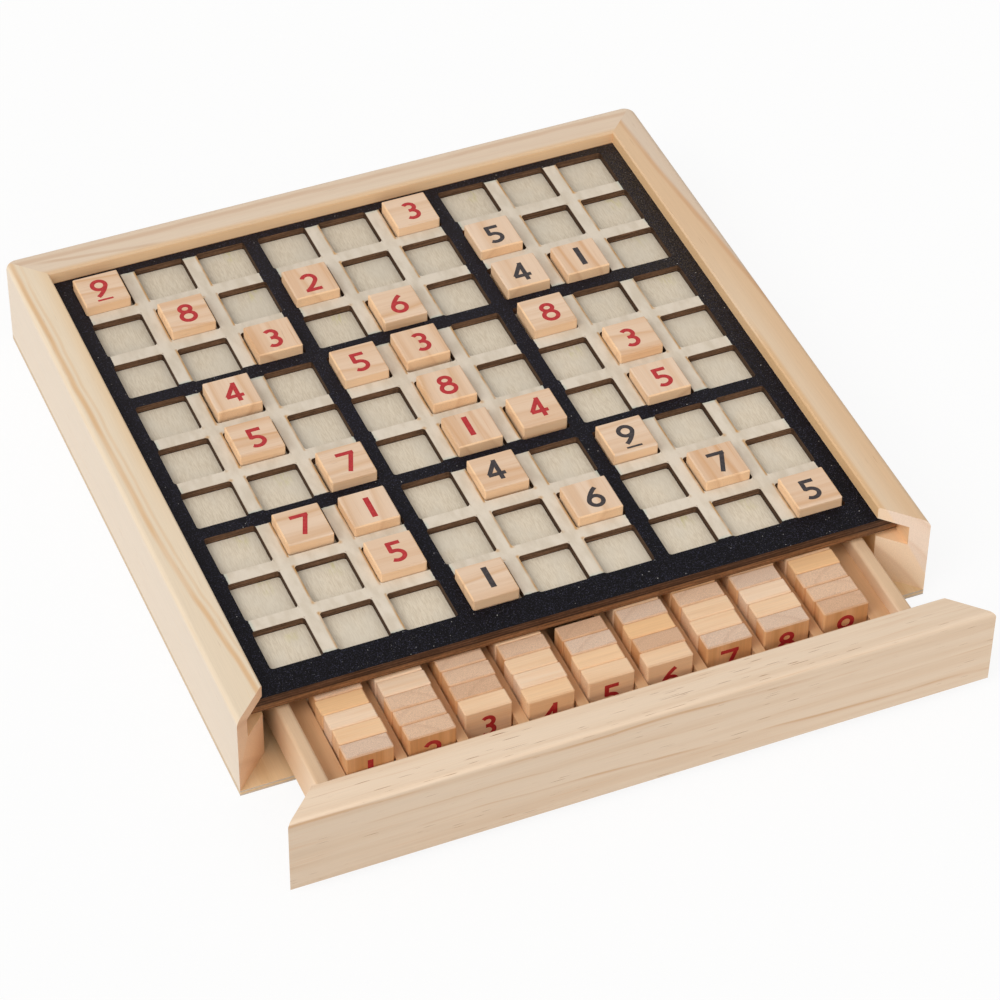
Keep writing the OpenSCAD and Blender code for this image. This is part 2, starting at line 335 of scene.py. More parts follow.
def right_rail_pine():
    """orange pine inside a wavering brown line that drifts outward, pinkish pine outside it"""
    f = Timber("right_rail_pine", "y", 2)
    warm, pale, pink = srgb(222, 189, 153), srgb(226, 200, 170), srgb(219, 199, 178)
    late = f.rings((60.0, -30.0), 9.0, 3.5, -0.006, 0.05)
    edge, lip, fade_y = FRAME_HALF, FRAME_HALF - RAIL_W, -15.0
    front = f.blend(f.rise(f.x, lip + 2.0, edge - 3.0), pale, warm)
    inside = f.blend(f.rise(f.y, fade_y + 75.0, fade_y - 5.0), warm, front)
    line = f.rise(f.y, FRAME_HALF, fade_y, edge - 7.2, edge - 0.6)
    colour = f.blend(f.rise(f.calc("SUBTRACT", f.x, line), -0.3, 0.9), inside, pink)
    colour = f.blend(f.times(late, 0.22), colour, srgb(214, 172, 128))
    fading = f.times(f.rise(f.y, fade_y, fade_y + 25.0), f.rise(f.facing[2], 0.1, 0.4))
    colour = f.blend(fading, colour, f.streak(colour, line, 1.4, srgb(206, 162, 122), 0.8, 1.0))
    by_lip = f.times(f.rise(f.x, lip + 2.4, lip + 0.8), f.rise(f.y, fade_y + 15.0, fade_y - 10.0))
    colour = f.blend(f.times(by_lip, 0.6), colour, srgb(218, 172, 118))
    # painted light: faces that look left, the lip's inner face most, are brighter and warmer where the light
    # from the left falls
    colour = f.face_tone_and_light(colour, 0, -1, srgb(240, 198, 146), 0.7)
    # painted light: the groove's tone here is pale to lift the shade under the board
    colour = f.groove_tone(colour, -1, srgb(255, 212, 166))
    # painted light: the right mitre's end tones are very pale to lift the shade that falls on it
    ends = mitre_end(f, late, 1, srgb(255, 230, 200), srgb(251, 232, 214), srgb(216, 172, 134))
    return f.finished(colour, ends, warm, dashes=0.3)


def back_rail_pine():
    """pinkish pine with a faint wavy line near its back edge"""
    f = Timber("back_rail_pine", "x", 3)
    pale, deep = srgb(227, 206, 183), srgb(214, 184, 156)
    late = f.rings((150.0, 0.0), 9.0, 5.0, 0.03)
    colour = f.blend(f.times(late, 0.35), pale, deep)
    colour = f.blend(f.bands(0.25), colour, srgb(222, 196, 172))
    colour = f.streak(colour, FRAME_HALF - 3.8, 1.6, srgb(208, 174, 144), 0.6, 2.4)
    left, lip = -FRAME_HALF, FRAME_HALF - RAIL_W
    short = f.rise(f.x, left, left + 58.0, FRAME_HALF - 4.6, FRAME_HALF - 11.0, smooth=False)
    knotty = f.times(f.rise(f.x, left + 5.0, left + 17.0), f.rise(f.x, left + 55.0, left + 43.0))
    colour = f.blend(knotty, colour, f.streak(colour, short, 1.1, srgb(204, 168, 136), 0.7))
    by_lip = f.rise(f.y, lip + 2.5, lip + 0.5, 0.0, 0.6)
    colour = f.blend(by_lip, colour, srgb(224, 182, 132))
    # painted light: the front-facing lip face is paler and warmer to lift its shade
    colour = f.face_tone_and_light(colour, 1, -1, srgb(255, 214, 168), 0.9)
    # painted shade: the groove's warm brown stands for the wood in the shade under the board
    colour = f.groove_tone(colour, -1, srgb(206, 152, 102))
    return f.finished(colour, srgb(226, 190, 152), deep, dashes=0.25)


# Woods of the drawer

def drawer_front_pine():
    """pale pine with broken warm lines and short resin dashes; painted shade makes its front face a little
    darker, most to the left, and painted light makes its top paler to the left
    """
    f = Timber("drawer_front_pine", "x", 5)
    pale, deep, line = srgb(236, 213, 188), srgb(219, 185, 151), srgb(208, 160, 114)
    colour = f.blend(f.bands(0.36), pale, deep)
    lines = f.rise(f.rings((-190.0, -40.0), 7.0, 7.0, 0.03), 0.35, 0.95, 0.0, 0.7)
    broken = f.rise(f.grain(0.25, 0.022, 23), 0.4, 0.62, 0.1, 1.0)
    colour = f.blend(f.times(lines, broken), colour, line)
    # painted light and shade across the piece: the top paler to the left, the front face darker
    top_light_across_x = f.rise(f.x, -FRAME_HALF, FRAME_HALF, 1.05, 0.945, smooth=False)
    face_shade_across_x = f.rise(f.x, -FRAME_HALF, FRAME_HALF, 0.825, 0.91, smooth=False)
    colour = f.shade(colour, f.rise(f.facing[1], -0.7, -0.98, top_light_across_x, face_shade_across_x))
    colour = f.groove_tone(colour, 1, srgb(206, 152, 102))
    return f.finished(colour, srgb(232, 204, 176), line, 0.3, 0.95, rare=0.37)


def drawer_side_pine():
    """plain warm pine in tones darkened as painted shade, paler outside near the drawer's front as painted
    light
    """
    f = Timber("drawer_side_pine", "y", 6)
    # painted shade: both tones are darkened for the shade on the sides under the board
    pale, deep = srgb(223, 191, 157), srgb(214, 176, 138)
    colour = f.blend(f.times(f.rings((-60.0, -60.0), 9.0, 4.0), 0.25), pale, deep)
    colour = f.blend(f.bands(0.25), colour, deep)
    front_y = reach("drawer_left_side")[0].y
    # painted light: faces that look left are paler near the drawer's front, where they come out of the shade
    outside = f.times(f.rise(f.y, front_y + 32.0, front_y + 4.0), f.rise(f.facing[0], -0.5, -0.9))
    colour = f.blend(f.times(outside, 0.8), colour, srgb(244, 218, 190))
    return f.finished(colour, srgb(236, 208, 180), deep, 0.15, 0.15)


def drawer_cross_pine():
    """pine of the drawer's back and of the block behind its front"""
    f = Timber("drawer_cross_pine", "x", 7)
    pale, deep = srgb(234, 208, 174), srgb(216, 178, 134)
    colour = f.blend(f.times(f.rings((90.0, -60.0), 7.0, 4.0), 0.6), pale, deep)
    colour = f.blend(f.bands(0.4), colour, deep)
    return f.finished(colour, srgb(236, 208, 180), deep)


def divider_pine():
    """rough strips between the channels, their tones darkened as painted shade deep in the drawer"""
    f = Timber("divider_pine", "y", 8)
    pale, deep = srgb(218, 176, 134), srgb(204, 158, 114)
    colour = f.blend(f.times(f.rings((-20.0, -50.0), 5.0, 4.0), 0.5), pale, deep)
    colour = f.blend(f.bands(0.5), colour, deep)
    return f.finished(colour, srgb(226, 192, 154), deep, 0.3, 0.2)


# Plywood

def burnt_edge(f, foot, top, layers, seed):
    """laser-burnt edge of a thin sheet; layers are its tones from foot to top"""
    level = f.rise(f.z, foot, top, smooth=False)
    steps = len(layers) - 1
    colour = f.ramp(level, [(k / steps, tone) for k, tone in enumerate(layers)])
    smear = f.noise((0.10, 0.10, 3.2), seed, 3.0, 0.6)
    colour = f.shade(colour, f.rise(smear, 0.32, 0.68, 0.60, 1.35))
    soot = f.noise((0.9, 0.9, 1.2), seed + 2, 3.0, 0.6)
    return f.shade(colour, f.rise(soot, 0.3, 0.7, 0.84, 1.12))


def cell_places(f):
    """distance from the board's middle toward the back, a number for the cell, and the place in the cell"""
    v = f.calc("SUBTRACT", f.y, BOARD_Y)
    col = f.calc("ROUND", f.calc("DIVIDE", f.x, CELL_PITCH))
    row = f.calc("ROUND", f.calc("DIVIDE", v, CELL_PITCH))
    in_x = f.calc("SUBTRACT", f.x, f.times(col, CELL_PITCH))
    in_y = f.calc("SUBTRACT", v, f.times(row, CELL_PITCH))
    number = f.calc("MULTIPLY_ADD", row, 13.0, col)
    return v, number, in_x, in_y


def bare_birch(f, in_x, in_y):
    """smooth birch bars, scorched along the cells' left and back edges"""
    cloudy = f.rise(f.noise((0.35, 0.12, 1.0), 21, 3.0), 0.35, 0.7)
    birch = f.blend(cloudy, srgb(229, 217, 200), srgb(216, 203, 184))
    birch = f.shade(birch, f.rise(f.noise((4.0, 2.0, 1.0), 22, 2.0), 0.3, 0.7, 0.98, 1.02))
    birch = f.shade(birch, f.rise(f.y, -SPAN_HALF, SPAN_HALF, 1.0, 0.94))
    off_x, off_y = f.calc("ABSOLUTE", in_x), f.calc("ABSOLUTE", in_y)
    rim, past = CELL_HALF - 0.1, CELL_HALF + 0.9
    beside = f.times(f.rise(off_x, rim, CELL_HALF), f.rise(off_y, past, rim))
    behind = f.times(f.rise(off_y, rim, CELL_HALF), f.rise(off_x, past, rim))
    patchy = f.rise(f.noise((0.16, 0.16, 0.16), 24, 2.0), 0.36, 0.60, 0.55, 1.0)
    left = f.times(beside, f.rise(in_x, 1.0, -1.0), f.rise(off_x, past, CELL_HALF + 0.15), patchy)
    right = f.times(beside, f.rise(in_x, -1.0, 1.0), f.rise(off_x, CELL_HALF + 0.3, CELL_HALF))
    back = f.times(behind, f.rise(in_y, -1.0, 1.0), f.rise(off_y, CELL_HALF + 0.4, CELL_HALF), patchy)
    birch = f.blend(f.times(left, 0.9), birch, srgb(188, 140, 78))
    birch = f.blend(f.times(back, 0.4), birch, srgb(160, 120, 80))
    birch = f.blend(f.times(right, 0.4), birch, srgb(120, 92, 66))
    corner = f.length(f.calc("SUBTRACT", off_x, CELL_HALF), f.calc("SUBTRACT", off_y, CELL_HALF))
    some = f.rise(f.noise((0.09, 0.09, 0.09), 27, 1.0), 0.52, 0.64)
    return f.blend(f.times(f.rise(corner, 1.2, 0.2), some, 0.55), birch, srgb(206, 158, 96))


def black_print(f, v):
    """matt black with a dense fine sparkle; painted sheen makes it greyer towards the back, and golden brown
    flecks gather towards the right back
    """
    # painted sheen: the black is lighter and greyer towards the back
    back = f.rise(v, -SPAN_HALF, SPAN_HALF, smooth=False)
    black = f.ramp(back, [(0.0, srgb(11, 9, 12)), (0.5, srgb(23, 20, 24)), (1.0, srgb(32, 27, 28))])
    sparkle = f.noise((2.6, 2.6, 1.0), 33, 3.0, 0.75)
    black = f.blend(f.rise(sparkle, 0.53, 0.72, 0.0, 0.75), black, srgb(78, 78, 100))
    full_x, full_v = 100.0, 60.0
    right_back_share = f.times(f.rise(f.x, full_x - 40.0, full_x), f.rise(v, -full_v, full_v))
    golden = f.rise(f.noise((3.0, 3.0, 1.0), 35, 3.0, 0.75), 0.46, 0.70)
    black = f.blend(f.times(right_back_share, golden, 0.6), black, srgb(112, 96, 72))
    drift = f.rise(f.noise((0.035, 0.035, 0.035), 36, 2.0), 0.42, 0.60, 0.2, 1.0)
    black = f.blend(f.times(f.specks(2.4, 0.30, 0.12, 5), drift, 0.5), black, srgb(150, 148, 150))
    return f.blend(f.times(f.specks(0.8, 0.15, 0.10, 2), drift, 0.9), black, srgb(222, 220, 216))


def printed_plywood():
    """pierced grid sheet: bare birch bars, black border and box lines, burnt cut edges"""
    f = Finish("printed_plywood", 0.07)
    v, _, in_x, in_y = cell_places(f)
    out_x, out_y = f.calc("ABSOLUTE", f.x), f.calc("ABSOLUTE", v)
    waver = f.calc("MULTIPLY_ADD", f.noise((1.1, 1.1, 1.1), 4, 3.0), 0.5, -0.25)
    border = f.calc("SUBTRACT", f.calc("MAXIMUM", out_x, out_y), SPAN_HALF - 0.65)
    lines = f.calc("MINIMUM", f.away(out_x, BOX_LINE), f.away(out_y, BOX_LINE))
    inked = f.calc("MAXIMUM", border, f.calc("SUBTRACT", BOX_LINE_HALF, lines))
    inked = f.calc("ADD", inked, waver)
    printed = f.rise(inked, -0.08, 0.10)
    teal = f.times(f.rise(inked, -1.3, -0.05), f.rise(f.noise((0.2, 0.2, 0.2), 31), 0.35, 0.6), 0.38)
    top = f.blend(teal, bare_birch(f, in_x, in_y), srgb(158, 186, 180))
    top = f.blend(printed, top, black_print(f, v))

    soot, bark, umber, dark = srgb(44, 32, 26), srgb(92, 68, 51), srgb(98, 70, 52), srgb(72, 51, 38)
    walls = burnt_edge(f, GRID_FOOT, GRID_TOP, [soot, bark, bark, bark, bark, bark], 41)
    # painted light and shade: walls facing the front or back are lighter, walls facing sideways darker, as
    # in the narrow gaps beside the tiles
    walls = f.shade(walls, f.rise(f.calc("ABSOLUTE", f.facing[0]), 0.3, 0.8, 1.35, 0.60))
    front = burnt_edge(f, GRID_FOOT, GRID_TOP, [soot, umber, dark, umber, dark, umber], 45)
    outer = f.rise(f.calc("MAXIMUM", out_x, out_y), SPAN_HALF + 1.0, SPAN_HALF + 3.0)
    edge = f.blend(outer, walls, front)
    colour = f.blend(f.rise(f.facing[2], 0.4, 0.8), edge, top)
    rough = f.rise(printed, 0.0, 1.0, 0.62, 0.52)
    return f.done(colour, rough, f.noise((4.0, 0.6, 2.0), 43, 3.0), 0.02)


def birch_backing():
    """plain birch floor of the cells, with faint yellow stains, painted shade along the cell walls and a
    burnt outer edge
    """
    f = Finish("birch_backing", 0.2)
    v, number, in_x, in_y = cell_places(f)
    grain = f.noise((3.4, 0.35, 1.0), 51, 3.0, 0.6)
    floor = f.blend(f.rise(grain, 0.34, 0.68), srgb(233, 220, 199), srgb(216, 201, 178))
    fine = f.noise((9.0, 1.6, 1.0), 52, 2.0)
    floor = f.shade(floor, f.rise(fine, 0.3, 0.7, 0.96, 1.03))
    cloudy = f.rise(f.noise((0.10, 0.06, 0.1), 53, 2.0), 0.40, 0.66, 0.0, 0.5)
    floor = f.blend(cloudy, floor, srgb(222, 212, 195))
    floor = f.shade(floor, f.rise(v, -SPAN_HALF, SPAN_HALF, 1.0, 0.90))

    pick = f.chance(number)
    stain = f.times(f.rise(f.away(in_x, 3.2), 3.4, 0.6), f.rise(in_y, 0.5, 6.5), f.rise(pick, 0.60, 0.72))
    stain = f.times(stain, f.rise(f.noise((0.9, 0.25, 0.5), 55, 3.0), 0.42, 0.66))
    floor = f.blend(f.times(stain, 0.6), floor, srgb(208, 198, 140))
    # painted shade: the floor darkens towards the cell walls
    rim = f.calc("MAXIMUM", f.calc("ABSOLUTE", in_x), f.calc("ABSOLUTE", in_y))
    floor = f.shade(floor, f.rise(rim, CELL_HALF - 1.0, CELL_HALF + 0.2, 1.0, 0.93))
    soot, brown, bark = srgb(52, 38, 30), srgb(132, 92, 60), srgb(94, 64, 42)
    edge = burnt_edge(f, BACKING_FOOT, GRID_FOOT, [bark, brown, brown, brown, brown, soot], 57)
    colour = f.blend(f.rise(f.calc("ABSOLUTE", f.facing[2]), 0.4, 0.8), edge, floor)
    return f.done(colour, f.rise(grain, 0.2, 0.8, 0.55, 0.7), grain, 0.02)


def thin_plywood(name, along, pale, deep, edge, foot, top, seed):
    """plain sanded plywood, its layers showing faintly at the edge"""
    f = Finish(name, 0.2)

    def grain(wide, long, number, detail):
        return f.noise((wide, long, 1.0) if along == "y" else (long, wide, 1.0), seed + number, detail, 0.55)

    figure = grain(0.4, 0.012, 0, 3.0)
    colour = f.blend(f.rise(figure, 0.38, 0.66), pale, deep)
    fine = grain(4.0, 0.15, 4, 2.0)
    colour = f.shade(colour, f.rise(fine, 0.3, 0.7, 0.97, 1.02))
    level = f.rise(f.z, foot, top, smooth=False)
    layers = f.ramp(level, [(0.0, edge), (0.3, edge), (0.4, deep), (0.6, deep), (0.7, edge), (1.0, edge)])
    layers = f.shade(layers, f.rise(f.noise((0.8, 0.8, 2.0), seed + 6, 3.0), 0.3, 0.7, 0.9, 1.05))
    flat = f.rise(f.calc("ABSOLUTE", f.facing[2]), 0.4, 0.8)
    return f.done(f.blend(flat, layers, colour), f.rise(fine, 0.2, 0.8, 0.58, 0.72), fine, 0.004)


def base_plywood():
    """smooth pale panel under the frame"""
    return thin_plywood("base_plywood", "y", srgb(232, 204, 164), srgb(226, 194, 150), srgb(206, 190, 172),
                        0.0, BASE_TOP, 61)


def drawer_floor_plywood():
    """floor of the drawer"""
    return thin_plywood("drawer_floor_plywood", "x", srgb(224, 192, 152), srgb(215, 179, 137),
                        srgb(206, 186, 158), FLOOR_FOOT, FLOOR_TOP, 71)


# Number tiles

def tile_wood(name, along, seed, pale, deep, heart, ring, slope):
    """hardwood of the tiles on the board, warmer and brighter on its sawn front and left faces: partly their
    own tone, partly painted light
    """
    f = Timber(name, along, seed)
    late = f.rings(heart, ring, 10.0, slope)
    colour = f.blend(late, pale, deep)
    colour = f.blend(f.bands(0.5), colour, deep)
    # painted light, with the sawn faces' own warmer tone: front and left faces paler and more orange
    colour = f.face_tone_and_light(colour, 1, -1, srgb(255, 212, 166), 0.6)
    colour = f.face_tone_and_light(colour, 0, -1, srgb(240, 196, 148), 0.6)
    ends = f.blend(f.times(late, 0.6), srgb(248, 208, 166), srgb(214, 164, 122))
    return f.finished(colour, ends, deep, 0.45, 0.3)


def tile_woods():
    """two woods with the grain across the board and two with the grain up it"""
    peach, bright = srgb(233, 203, 175), srgb(235, 207, 181)
    orange, sand = srgb(213, 164, 119), srgb(215, 172, 131)
    return {
        "x1": tile_wood("tile_wood_x1", "x", 11, peach, orange, (-60.0, -10.0), 7.5, 0.12),
        "x2": tile_wood("tile_wood_x2", "x", 12, bright, sand, (80.0, -30.0), 9.0, -0.08),
        "y1": tile_wood("tile_wood_y1", "y", 13, peach, orange, (-70.0, -20.0), 8.0, 0.08),
        "y2": tile_wood("tile_wood_y2", "y", 14, bright, sand, (90.0, -25.0), 9.5, -0.05),
    }


# Tones of the stored tiles' tops: long grain first, then end grain
CREAM = srgb(244, 208, 171)
PALE = srgb(246, 216, 186)
ORANGE = srgb(243, 197, 147)
STRIPED = srgb(246, 206, 164)
END_GREY = srgb(226, 196, 172)
END_PINK = srgb(229, 193, 163)
END_BROWN = srgb(218, 178, 146)
END_GRAIN = (END_GREY, END_PINK, END_BROWN)

STORED_TILES = {
    1: [END_GREY, STRIPED, PALE, ORANGE, END_PINK, CREAM],
    2: [END_PINK, END_PINK, END_PINK, PALE, PALE, CREAM, ORANGE, END_PINK, CREAM],
    3: [CREAM, END_BROWN, END_PINK, END_PINK, ORANGE, PALE],
    4: [STRIPED, PALE, CREAM, END_PINK, CREAM, END_GREY],
    5: [CREAM, STRIPED, END_GREY, END_BROWN],
    6: [CREAM, END_BROWN, ORANGE, END_GREY, CREAM, PALE, END_PINK, ORANGE],
    7: [END_GREY, CREAM, CREAM, END_PINK, ORANGE, CREAM, END_PINK],
    8: [END_GREY, CREAM, PALE, END_GREY, STRIPED, END_PINK, CREAM],
    9: [END_BROWN, END_PINK, END_PINK, ORANGE, CREAM, END_GREY, PALE, END_PINK],
}


def stored_wood(number, tones, first_y):
    """a row of tiles on edge: each has its own tone, with long grain or end grain on top"""
    f = Finish(f"stored_tiles_{number}_wood")
    along = f.calc("DIVIDE", f.calc("SUBTRACT", f.y, first_y), STORED_STEP)
    which = f.calc("FLOOR", along)
    pick = f.calc("DIVIDE", f.calc("ADD", which, 0.5), MOST_STORED)
    tone = f.ramp(pick, [(k / MOST_STORED, tone) for k, tone in enumerate(tones)], flat=True)
    kinds = [(k / MOST_STORED, 1.0 if tone in END_GRAIN else 0.0) for k, tone in enumerate(tones)]
    upright = f.ramp(pick, kinds, flat=True)
    own = f.calc("MULTIPLY_ADD", which, 23.7, number * 41.3)
    spot = f.join(f.calc("ADD", f.x, own), f.y, f.calc("ADD", f.z, own))

    stripes = f.noise((0.03, 0.55, 0.55), number, 2.0, 0.45, spot)
    long = f.blend(f.rise(stripes, 0.42, 0.68, 0.0, 0.35), tone, srgb(234, 188, 142))
    thin = f.noise((0.05, 2.6, 2.6), number + 3, 2.0, 0.5, spot)
    long = f.shade(long, f.rise(thin, 0.3, 0.7, 0.96, 1.03))

    speck = f.noise((3.0, 3.0, 3.0), number + 5, 3.0, 0.7, spot)
    heart_range, heart_depth, ring_width = 24.0, 9.0, 5.5
    middle = f.calc("SUBTRACT", f.x, (number - 5) * CHANNEL_PITCH + heart_range / 2)
    arc_x = f.calc("MULTIPLY_ADD", f.chance(f.calc("ADD", own, 3.0)), heart_range, middle)
    arc_y = f.calc("ADD", f.times(f.calc("SUBTRACT", along, which), STORED_STEP), heart_depth)
    arc = f.calc("MULTIPLY_ADD", speck, 1.6, f.length(arc_x, arc_y))
    ring = f.calc("FRACT", f.calc("DIVIDE", arc, ring_width))
    end = f.shade(tone, f.rise(speck, 0.3, 0.7, 0.84, 1.10))
    end = f.blend(f.rise(ring, 0.70, 0.92, 0.0, 0.18), end, srgb(182, 140, 112))

    broad = f.noise((0.16, 0.16, 0.01), number + 11, 2.0, 0.5, spot)
    # sides of the end grain tiles: the long grain's warmer tone, darkened as painted shade in the drawer
    tall = f.blend(f.rise(broad, 0.40, 0.62), srgb(236, 186, 136), srgb(220, 166, 114))
    fine = f.noise((1.8, 1.8, 0.04), number + 13, 2.0, 0.5, spot)
    tall = f.shade(tall, f.rise(fine, 0.3, 0.7, 0.95, 1.03))

    up = f.rise(f.calc("ABSOLUTE", f.facing[2]), 0.5, 0.85)
    sideways = f.rise(f.calc("ABSOLUTE", f.facing[0]), 0.5, 0.85)
    colour = f.blend(upright, f.blend(sideways, long, end), f.blend(up, tall, end))
    return f.done(colour, f.rise(speck, 0.2, 0.8, 0.52, 0.68), speck, 0.02)


def printing_ink(name, body, thin, seed):
    """ink stamped on wood, a little thinner where the grain shows through"""
    f = Finish(name, 0.3)
    mottle = f.noise((0.9, 0.9, 0.9), seed, 3.0, 0.6)
    colour = f.blend(f.rise(mottle, 0.38, 0.72), body, thin)
    grain = f.noise((3.0, 0.5, 3.0), seed + 2, 3.0, 0.6)
    colour = f.shade(colour, f.rise(grain, 0.3, 0.7, 0.93, 1.07))
    return f.done(colour, f.rise(mottle, 0.3, 0.7, 0.45, 0.6), grain, 0.01)


# Printed digits

DIGIT_HIGH = 9.0
STROKE = 1.45
INK_HIGH = 0.08
INK_SUNK = 0.02


def bow(cx, cy, rx, ry, start, end, count=20):
    """points along an arc, angles in degrees"""
    turns = [math.radians(start + (end - start) * i / count) for i in range(count + 1)]
    return [(cx + rx * math.cos(turn), cy + ry * math.sin(turn)) for turn in turns]


def hoop(cx, cy, rx, ry, count=32):
    """points round a closed ring"""
    return bow(cx, cy, rx, ry, 90, 450 - 360 / count, count - 1)


HALF = STROKE / 2
HEAD = DIGIT_HIGH - HALF
SIX = [
    (False, [(1.75, 8.55), (0.75, 7.75), (-0.35, 6.55), (-1.3, 5.2), (-1.95, 3.95), (-2.2, 2.95)]),
    (True, hoop(0.0, HALF + 2.2, 2.2, 2.2)),
]

# Centre lines of the nine digits: (closed, points), from the foot of the digit up
CENTRE_LINES = {
    1: [(False, [(0, 0), (0, DIGIT_HIGH)])],
    2: [(False, bow(-0.15, 6.05, 2.15, 2.22, 158, -28, 22) + [(0.75, 3.55), (-0.6, 2.1), (-2.05, HALF)]),
        (False, [(-2.75, HALF), (2.75, HALF)])],
    3: [(False, bow(-0.35, 6.5, 1.85, 1.78, 140, -90, 22) + [(-0.9, 4.72)]),
        (False, [(-0.9, 4.72)] + bow(-0.35, HALF + 2.0, 2.1, 2.0, 90, -140, 24))],
    4: [(False, [(1.15, 0), (1.15, DIGIT_HIGH)]),
        (False, [(-2.75, 2.6), (3.0, 2.6)]),
        (False, [(1.35, 8.55), (-2.45, 2.75)])],
    5: [(False, [(-2.05, HEAD), (2.3, HEAD)]),
        (False, [(-1.55, DIGIT_HIGH - 0.1), (-1.55, 4.45)]),
        (False, [(-1.75, 5.0)] + bow(-0.45, HALF + 2.12, 2.45, 2.12, 112, -132, 24))],
    6: SIX,
    7: [(False, [(-2.95, HEAD), (2.95, HEAD)]),
        (False, [(2.35, DIGIT_HIGH - 0.55), (-0.85, 0.0)])],
    8: [(True, hoop(0.0, 6.68, 1.8, 1.6)),
        (True, hoop(0.0, HALF + 2.1, 2.3, 2.1))],
    9: [(closed, [(-x, DIGIT_HIGH - y) for x, y in points]) for closed, points in SIX],
}
STROKE_WIDTHS = {1: 1.8}
UNDERLINE = [(False, [(-2.6, -1.35), (2.6, -1.35)])]
UNDERLINE_WIDTH = 0.75


def stroke_tree():
    """flat strokes of ink that follow centre lines, merged where they cross"""
    tree = bpy.data.node_groups.new("printed_strokes", "GeometryNodeTree")
    wanted = (
        ("Centre Lines", "NodeSocketGeometry", "INPUT"),
        ("Stroke Width", "NodeSocketFloat", "INPUT"),
        ("Ink Height", "NodeSocketFloat", "INPUT"),
        ("Ink", "NodeSocketMaterial", "INPUT"),
        ("Print", "NodeSocketGeometry", "OUTPUT"),
    )
    sockets = {}
    for label, kind, way in wanted:
        sockets[label] = tree.interface.new_socket(label, in_out=way, socket_type=kind).identifier
    given = tree.nodes.new("NodeGroupInput")
    lines = tree.nodes.new("GeometryNodeMeshToCurve")
    flat = tree.nodes.new("GeometryNodeSetCurveNormal")
    flat.mode = "Z_UP"
    nib = tree.nodes.new("GeometryNodeCurvePrimitiveQuadrilateral")
    sweep = tree.nodes.new("GeometryNodeCurveToMesh")
    sweep.inputs["Fill Caps"].default_value = True
    merge = tree.nodes.new("GeometryNodeMeshBoolean")
    merge.operation = "UNION"
    merge.solver = "EXACT"
    merge.inputs["Self Intersection"].default_value = True
    real = tree.nodes.new("GeometryNodeRealizeInstances")
    paint = tree.nodes.new("GeometryNodeSetMaterial")
    result = tree.nodes.new("NodeGroupOutput")
    link = tree.links.new
    link(given.outputs["Centre Lines"], lines.inputs["Mesh"])
    link(lines.outputs["Curve"], flat.inputs["Curve"])
    link(given.outputs["Stroke Width"], nib.inputs["Width"])
    link(given.outputs["Ink Height"], nib.inputs["Height"])
    link(flat.outputs["Curve"], sweep.inputs["Curve"])
    link(nib.outputs["Curve"], sweep.inputs["Profile Curve"])
    link(sweep.outputs["Mesh"], merge.inputs["Mesh 2"])
    link(merge.outputs["Mesh"], real.inputs["Geometry"])
    link(real.outputs["Geometry"], paint.inputs["Geometry"])
    link(given.outputs["Ink"], paint.inputs["Material"])
    link(paint.outputs["Geometry"], result.inputs["Print"])
    return tree, sockets


def swept(tree, sockets, lines, width, ink):
    """one flat print from centre lines, as a plain mesh lying on z = 0"""
    points, edges = [], []
    for closed, line in lines:
        first = len(points)
        points += [(x * MM, y * MM, INK_HIGH / 2 * MM) for x, y in line]
        edges += [(first + i, first + i + 1) for i in range(len(line) - 1)]
        if closed:
            edges.append((len(points) - 1, first))
    guide = bpy.data.meshes.new("centre_lines")
    guide.from_pydata(points, edges, [])
    holder = bpy.data.objects.new("centre_lines", guide)
    bpy.context.scene.collection.objects.link(holder)
    maker = holder.modifiers.new("printed_strokes", "NODES")
    maker.node_group = tree
    maker[sockets["Stroke Width"]] = width * MM
    maker[sockets["Ink Height"]] = INK_HIGH * MM
    maker[sockets["Ink"]] = ink
    seen = holder.evaluated_get(bpy.context.evaluated_depsgraph_get())
    plain = bpy.data.meshes.new_from_object(seen)
    bpy.data.objects.remove(holder)
    bpy.data.meshes.remove(guide)
    return plain


class Stamps:
    """keeps one print of each digit in each ink, centred on the digit"""

    def __init__(self):
        self.tree, self.sockets = stroke_tree()
        self.kept = {}

    def print_of(self, digit, ink):
        """the mesh of one digit, made once for each ink"""
        key = (digit, ink.name)
        if key not in self.kept:
            width = STROKE_WIDTHS.get(digit, STROKE)
            parts = [swept(self.tree, self.sockets, CENTRE_LINES[digit], width, ink)]
            if digit == 9:
                parts.append(swept(self.tree, self.sockets, UNDERLINE, UNDERLINE_WIDTH, ink))
            points, faces = [], []
            for part in parts:
                first = len(points)
                points += [v.co - Vector((0, DIGIT_HIGH / 2 * MM, 0)) for v in part.vertices]
                faces += [[first + i for i in p.vertices] for p in part.polygons]
            whole = bpy.data.meshes.new(f"digit_{digit}")
            whole.from_pydata(points, [], faces)
            whole.materials.append(ink)
            self.kept[key] = whole
        return self.kept[key]

    def place(self, name, digit, ink, where, body):
        """a new printed piece that rides on a body"""
        mesh = self.print_of(digit, ink).copy()
        mesh.transform(where)
        mesh.name = name
        piece = bpy.data.objects.new(name, mesh)
        bpy.context.scene.collection.objects.link(piece)
        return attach(piece, body)


